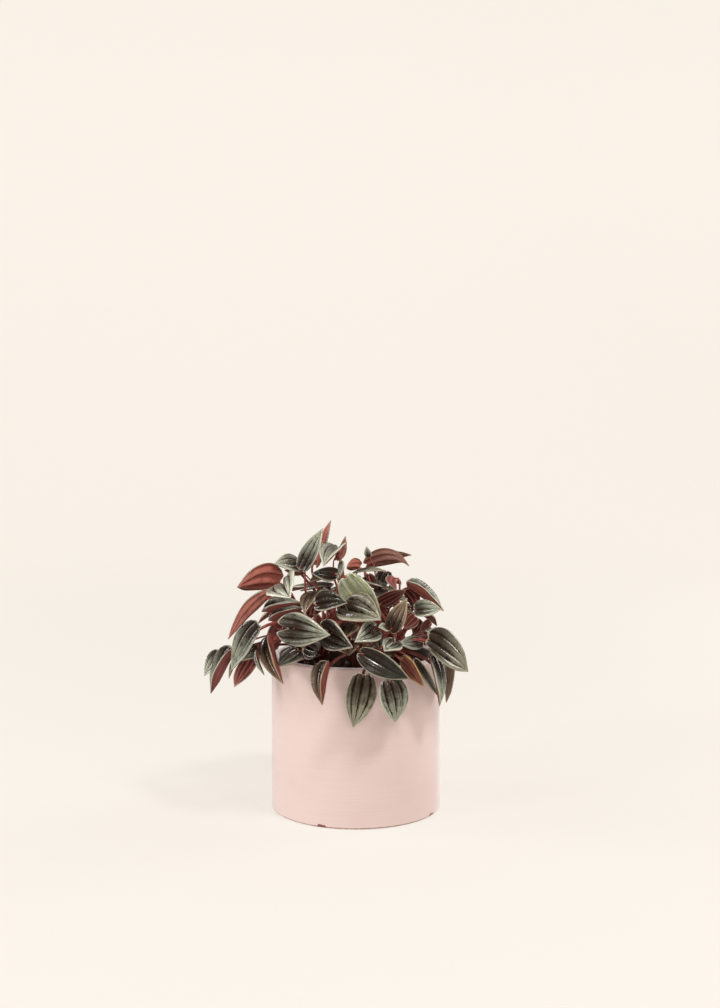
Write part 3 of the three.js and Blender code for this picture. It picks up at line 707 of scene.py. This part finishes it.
# Upper face of a living leaf: a thin waxy skin, satin, with silvery ridges, dark furrows and a pale rim. The
# silver of the ridges is partly the leaf's own colour and partly a painted sheen.
# Round the joint it is a dark brown, with one orange-red dot about 2 mm across where the stalk joins.
SKIN_PATCH = 5 * MM
SKIN_GRAIN = 0.7 * MM
MAIN_FURROW_START = 0.2
FINE_FURROW_START = 0.55
HEART_REACH = 0.76
DARK_HEART = "#27160d"
RIM_EDGE_BROWN = "#8c6455"
JOINT_DOT = "#b4512f"
leaf_skin, tree = new_material("waxy_leaf_upper_skin")
place = add_node(tree, "ShaderNodeTexCoord").outputs["Object"]
look = {"Vector": place, "Scale": 1 / SKIN_PATCH, "Detail": 3, "Roughness": 0.6}
skin_patches = add_node(tree, "ShaderNodeTexNoise", look).outputs["Fac"]
skin_grain = add_node(tree, "ShaderNodeTexNoise", {"Vector": place, "Scale": 1 / SKIN_GRAIN}).outputs["Fac"]
placed = add_node(tree, "ShaderNodeAttribute", attribute_name="place").outputs["Vector"]
darkness, across_it, inset = add_node(tree, "ShaderNodeSeparateXYZ", {0: placed}).outputs
joined = add_node(tree, "ShaderNodeAttribute", attribute_name="joint").outputs["Vector"]
from_joint, share, stripes = add_node(tree, "ShaderNodeSeparateXYZ", {0: joined}).outputs
ridge, furrow, rim = [
    add_node(tree, "ShaderNodeAttribute", attribute_name=name).outputs["Color"]
    for name in ("ridge", "furrow", "rim")
]

# The furrows wander a little to and fro, with finer ones between them, and dark patches join them here and
# there.
look = {0: skin_patches, 3: -0.08, 4: 0.08}
wander = add_node(tree, "ShaderNodeMapRange", look).outputs[0]
wandering = add_node(tree, "ShaderNodeMath", {0: across_it, 1: wander}, **ADD).outputs[0]
main_furrows = furrow_shade(tree, wandering, FURROW_PITCH, MAIN_FURROW_START)
fine_furrows = furrow_shade(tree, wandering, FURROW_PITCH / 2, FINE_FURROW_START)
faint = add_node(tree, "ShaderNodeMath", {0: fine_furrows, 1: 0.5}, **MULTIPLY).outputs[0]
furrows = add_node(tree, "ShaderNodeMath", {0: main_furrows, 1: faint}, operation="MAXIMUM").outputs[0]
furrows = add_node(tree, "ShaderNodeMath", {0: furrows, 1: stripes}, **MULTIPLY).outputs[0]
look = {0: skin_patches, 1: 0.55, 2: 0.3, 4: 0.45}
patchy = add_node(tree, "ShaderNodeMapRange", look, **SMOOTH).outputs[0]
furrows = add_node(tree, "ShaderNodeMath", {0: furrows, 1: patchy}, use_clamp=True, **ADD).outputs[0]
# The ridge colour carries a painted sheen as well as the leaf's own silver.
skin = add_node(tree, "ShaderNodeMix", {0: furrows, 6: ridge, 7: furrow}, **COLOURS).outputs[2]

# The dark heart round the joint, then the pale rim and its brown outmost edge, then the dot on the joint.
look = {0: wander, 1: 1.2, 2: share}
wavering = add_node(tree, "ShaderNodeMath", look, operation="MULTIPLY_ADD").outputs[0]
near = add_node(tree, "ShaderNodeMapRange", {0: wavering, 1: HEART_REACH, 2: 0.15}, **SMOOTH).outputs[0]
heart = add_node(tree, "ShaderNodeMath", {0: near, 1: darkness}, **MULTIPLY).outputs[0]
skin = add_node(tree, "ShaderNodeMix", {0: heart, 6: skin, 7: colour(DARK_HEART)}, **COLOURS).outputs[2]
uneven = add_node(tree, "ShaderNodeMath", {0: wander, 1: 6, 2: inset}, operation="MULTIPLY_ADD").outputs[0]
edged = add_node(tree, "ShaderNodeMapRange", {0: uneven, 1: 1.3, 2: 0.2, 4: 0.8}, **SMOOTH).outputs[0]
skin = add_node(tree, "ShaderNodeMix", {0: edged, 6: skin, 7: rim}, **COLOURS).outputs[2]
outmost = add_node(tree, "ShaderNodeMapRange", {0: inset, 1: 0.3, 2: 0.05, 4: 0.7}, **SMOOTH).outputs[0]
skin = add_node(tree, "ShaderNodeMix", {0: outmost, 6: skin, 7: colour(RIM_EDGE_BROWN)}, **COLOURS).outputs[2]
dotted = add_node(tree, "ShaderNodeMapRange", {0: from_joint, 1: 1.1, 2: 0.7}, **SMOOTH).outputs[0]
skin = add_node(tree, "ShaderNodeMix", {0: dotted, 6: skin, 7: colour(JOINT_DOT)}, **COLOURS).outputs[2]
look = {"Height": skin_grain, "Strength": 0.18, "Distance": 0.1 * MM}
pebbled = add_node(tree, "ShaderNodeBump", look).outputs["Normal"]
look = {0: skin_patches, 1: 0.3, 2: 0.7, 3: 0.17, 4: 0.29}
dullness = add_node(tree, "ShaderNodeMapRange", look, **SMOOTH).outputs[0]
look = {
    "Base Color": skin,
    "Roughness": dullness,
    "IOR": 1.45,
    "Specular IOR Level": 0.7,
    "Subsurface Weight": 0.06,
    "Subsurface Radius": (0.6, 0.9, 0.3),
    "Subsurface Scale": 0.8 * MM,
    "Normal": pebbled,
}
shader = add_node(tree, "ShaderNodeBsdfPrincipled", look).outputs["BSDF"]
add_node(tree, "ShaderNodeOutputMaterial", {"Surface": shader})

# Underside of a living leaf: a smooth matt skin, salmon red to maroon, with paler veins and a greenish rim.
VEIN_PALE = "#b5857a"
leaf_under, tree = new_material("matt_leaf_underside")
place = add_node(tree, "ShaderNodeTexCoord").outputs["Object"]
look = {"Vector": place, "Scale": 1 / SKIN_PATCH, "Detail": 3}
under_patches = add_node(tree, "ShaderNodeTexNoise", look).outputs["Fac"]
placed = add_node(tree, "ShaderNodeAttribute", attribute_name="place").outputs["Vector"]
_, across_it, inset = add_node(tree, "ShaderNodeSeparateXYZ", {0: placed}).outputs
rim, under = [
    add_node(tree, "ShaderNodeAttribute", attribute_name=name).outputs["Color"] for name in ("rim", "under")
]
# Random patches darken the underside towards the dark heart colour: painted shade.
look = {0: under_patches, 1: 0.5, 2: 0.75, 4: 0.35}
shaded = add_node(tree, "ShaderNodeMapRange", look, **SMOOTH).outputs[0]
under = add_node(tree, "ShaderNodeMix", {0: shaded, 6: under, 7: colour(DARK_HEART)}, **COLOURS).outputs[2]
veins = furrow_shade(tree, across_it, FURROW_PITCH, 0.85)
veins = add_node(tree, "ShaderNodeMath", {0: veins, 1: 0.25}, **MULTIPLY).outputs[0]
under = add_node(tree, "ShaderNodeMix", {0: veins, 6: under, 7: colour(VEIN_PALE)}, **COLOURS).outputs[2]
edged = add_node(tree, "ShaderNodeMapRange", {0: inset, 1: 1.1, 2: 0.1, 4: 0.4}, **SMOOTH).outputs[0]
under = add_node(tree, "ShaderNodeMix", {0: edged, 6: under, 7: rim}, **COLOURS).outputs[2]
look = {
    "Base Color": under,
    "Roughness": 0.45,
    "IOR": 1.45,
    "Specular IOR Level": 0.3,
    "Subsurface Weight": 0.08,
    "Subsurface Radius": (1.0, 0.4, 0.3),
    "Subsurface Scale": 0.8 * MM,
}
shader = add_node(tree, "ShaderNodeBsdfPrincipled", look).outputs["BSDF"]
add_node(tree, "ShaderNodeOutputMaterial", {"Surface": shader})

# Leaf stalk and crown: a juicy smooth stem, pink-red and a little see-through, with darker flecks about 1 mm
# across. Down at the crown it turns dark brown, partly the crown's own colour and partly painted shade under
# the leaves.
FLECK_SIZE = 1 * MM
BLUSH_SIZE = 9 * MM
STALK_RED = "#7f3a32"
STALK_PINK = "#b26c60"
FLECK_RED = "#5e2620"
CROWN_BROWN_AND_SHADE = "#2c1811"
stalk_skin, tree = new_material("juicy_stalk_skin")
place = add_node(tree, "ShaderNodeTexCoord").outputs["Object"]
height = add_node(tree, "ShaderNodeSeparateXYZ", {0: place}).outputs["Z"]
look = {"Vector": place, "Scale": 1 / FLECK_SIZE, "Detail": 3}
flecks = add_node(tree, "ShaderNodeTexNoise", look).outputs["Fac"]
broad = add_node(tree, "ShaderNodeTexNoise", {"Vector": place, "Scale": 1 / BLUSH_SIZE}).outputs["Fac"]
blushed = add_node(tree, "ShaderNodeMapRange", {0: broad, 1: 0.35, 2: 0.7}, **SMOOTH).outputs[0]
look = {0: blushed, 6: colour(STALK_RED), 7: colour(STALK_PINK)}
stalk_red = add_node(tree, "ShaderNodeMix", look, **COLOURS).outputs[2]
flecked = add_node(tree, "ShaderNodeMapRange", {0: flecks, 1: 0.6, 2: 0.72, 4: 0.5}, **SMOOTH).outputs[0]
look = {0: flecked, 6: stalk_red, 7: colour(FLECK_RED)}
stalk_red = add_node(tree, "ShaderNodeMix", look, **COLOURS).outputs[2]
# Painted shade: the stalks darken towards the crown, under the leaves.
look = {0: height, 1: SOIL_TOP + 36 * MM, 2: SOIL_TOP + 4 * MM, 4: 0.85}
shaded_towards_crown = add_node(tree, "ShaderNodeMapRange", look, **SMOOTH).outputs[0]
look = {0: shaded_towards_crown, 6: stalk_red, 7: colour(CROWN_BROWN_AND_SHADE)}
stalk_red = add_node(tree, "ShaderNodeMix", look, **COLOURS).outputs[2]
look = {
    "Base Color": stalk_red,
    "Roughness": 0.35,
    "IOR": 1.45,
    "Specular IOR Level": 0.4,
    "Subsurface Weight": 0.15,
    "Subsurface Radius": (1.0, 0.4, 0.3),
    "Subsurface Scale": 1.0 * MM,
}
shader = add_node(tree, "ShaderNodeBsdfPrincipled", look).outputs["BSDF"]
add_node(tree, "ShaderNodeOutputMaterial", {"Surface": shader})

leaves = {stem: [make_leaf(row) for row in FRONT_LEAVES.get(stem, [])] for stem in STEMS}
draw = draws(SEED)
for ring in RINGS:
    for stem, row in ring_leaves(ring, draw):
        leaves[stem].append(make_leaf(row))

BROAD_LEAF = 15.5
BROAD_GRID = (52, 40)
NARROW_GRID = (30, 24)
for stem, place in STEMS.items():
    stem_mesh = bmesh.new()
    layers = {name: stem_mesh.verts.layers.float_vector.new(name) for name in ("place", "joint")}
    for name in TINTS:
        layers[name] = stem_mesh.verts.layers.float_color.new(name)
    add_crown(stem_mesh, place)
    for leaf in leaves[stem]:
        leaf["phase"] = 2 * math.pi * next(draw)
        leaf["bright"] = 0.88 + 0.24 * next(draw)
    stem_mesh.from_mesh(stalk_mesh([stalk_path(leaf, place) for leaf in leaves[stem]]))
    for face in stem_mesh.faces:
        face.material_index = STALK
    for leaf in leaves[stem]:
        leaf["tints"] = {
            part: (*[leaf["bright"] * level for level in colour(leaf["colouring"][part])[:3]], 1)
            for part in TINTS
        }
        add_blade(stem_mesh, layers, leaf, *(BROAD_GRID if leaf["width"] >= BROAD_LEAF else NARROW_GRID))
    leafy_stem = new_piece(f"leafy_{stem}", stem_mesh, [leaf_skin, leaf_under, stalk_skin])
    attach(leafy_stem, "root")
    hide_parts(f"leafy_stem_{stem}")


# The floor and the wall: plain cream studio paper laid flat and curved up all round, like a light tent, so
# that the plant stands before the same paper from every side. It isn't part of the object.
TENT_RADIUS = 2.4
TENT_CURVE = 0.9
TENT_HEIGHT = 2.8
TENT_STEPS = 96
FLAT_MIDDLE = 0.4
PULP_SIZE = 20 * MM
CREAM_PAPER = "#848280"
PULP = "#817f7d"
PAPER_GLOW = "#fcf5eb"
NEAR_PAPER = 0.3
FAR_PAPER = 1.8
NEAR_GLOW = 0.67
FAR_GLOW = 0.755
paper_mesh = bmesh.new()
profile = [(0, 0), (FLAT_MIDDLE, 0)]
profile += rounded((TENT_RADIUS - TENT_CURVE, TENT_CURVE), TENT_CURVE, -90, 0, 24)
profile += [(TENT_RADIUS, TENT_HEIGHT)]
turn(paper_mesh, profile, TENT_STEPS)

# Uncoated paper: dead matt, with a barely visible mottle from its pulp about 20 mm across. It glows a little
# by itself, so that the shadows on it stay faint. Nothing mirrors it: all gloss comes from the panels and the
# dim room.
paper_material, tree = new_material("uncoated_cream_paper")
place = add_node(tree, "ShaderNodeTexCoord").outputs["Object"]
pulp = add_node(tree, "ShaderNodeTexNoise", {"Vector": place, "Scale": 1 / PULP_SIZE}).outputs["Fac"]
mottled = add_node(tree, "ShaderNodeMapRange", {0: pulp, 1: 0.3, 2: 0.7, 4: 0.15}, **SMOOTH).outputs[0]
look = {0: mottled, 6: colour(CREAM_PAPER), 7: colour(PULP)}
tone = add_node(tree, "ShaderNodeMix", look, **COLOURS).outputs[2]
away = add_node(tree, "ShaderNodeVectorMath", {0: place}, operation="LENGTH").outputs["Value"]
look = {0: away, 1: NEAR_PAPER, 2: FAR_PAPER, 3: NEAR_GLOW, 4: FAR_GLOW}
glow = add_node(tree, "ShaderNodeMapRange", look, **SMOOTH).outputs[0]
look = {
    "Base Color": tone,
    "Roughness": 0.95,
    "Specular IOR Level": 0.1,
    "Emission Color": colour(PAPER_GLOW),
    "Emission Strength": glow,
}
shader = add_node(tree, "ShaderNodeBsdfPrincipled", look).outputs["BSDF"]
add_node(tree, "ShaderNodeOutputMaterial", {"Surface": shader})
paper = new_piece("studio_paper", paper_mesh, [paper_material])
paper.visible_glossy = False


# The light: a soft panel high up in front on the right, a weaker one low on the left, a small one over the
# camera that glints on the leaves, one beyond each side of the pot for its bright edges, and a dim room.
ROOM_CREAM = "#fbf5ea"
ROOM_STRENGTH = 0.14
PLANT_MIDDLE = Vector((0, 0, 0.11))


def add_panel(name, place, size, power, tint):
    """A square light panel that faces the plant."""
    lamp = bpy.data.lights.new(name, "AREA")
    lamp.size = size
    lamp.energy = power
    lamp.color = colour(tint)[:3]
    panel = bpy.data.objects.new(name, lamp)
    bpy.context.scene.collection.objects.link(panel)
    panel.location = place
    panel.visible_camera = False
    aim = PLANT_MIDDLE - Vector(place)
    panel.rotation_euler = aim.to_track_quat("-Z", "Y").to_euler()


add_panel("soft_panel_right", (0.65, -0.75, 1.5), 0.28, 14.5, "#fffdfa")
add_panel("soft_panel_left", (-1.6, -1.1, 0.7), 0.45, 13, "#ffffff")
add_panel("small_panel_front", (0.15, -1.6, 0.9), 0.25, 3, "#ffffff")
add_panel("side_panel_left", (-1.35, 0.1, 0.5), 0.5, 7, "#ffffff")
add_panel("side_panel_right", (1.36, 0.63, 0.5), 0.5, 8, "#ffffff")

room = bpy.data.worlds.new("even_room_light")
bpy.context.scene.world = room
room.use_nodes = True
background = room.node_tree.nodes["Background"]
background.inputs["Color"].default_value = colour(ROOM_CREAM)
background.inputs["Strength"].default_value = ROOM_STRENGTH
bpy.context.scene.view_settings.view_transform = "Standard"


# The camera: a 50 mm lens 1.07 m in front of the plant and 318 mm up, looking down by 4.5 degrees, as in the
# photo.
CAMERA_PLACE = (0.003, -1.067, 0.318)
CAMERA_DOWN = 4.5
LENS = 50
FILM_WIDTH = 36
NEAREST = 0.05
lens = bpy.data.cameras.new("camera")
lens.lens = LENS
lens.sensor_width = FILM_WIDTH
lens.clip_start = NEAREST
camera = bpy.data.objects.new("camera", lens)
camera.location = CAMERA_PLACE
camera.rotation_euler = (math.radians(90 - CAMERA_DOWN), 0, 0)
bpy.context.scene.collection.objects.link(camera)
bpy.context.scene.camera = camera
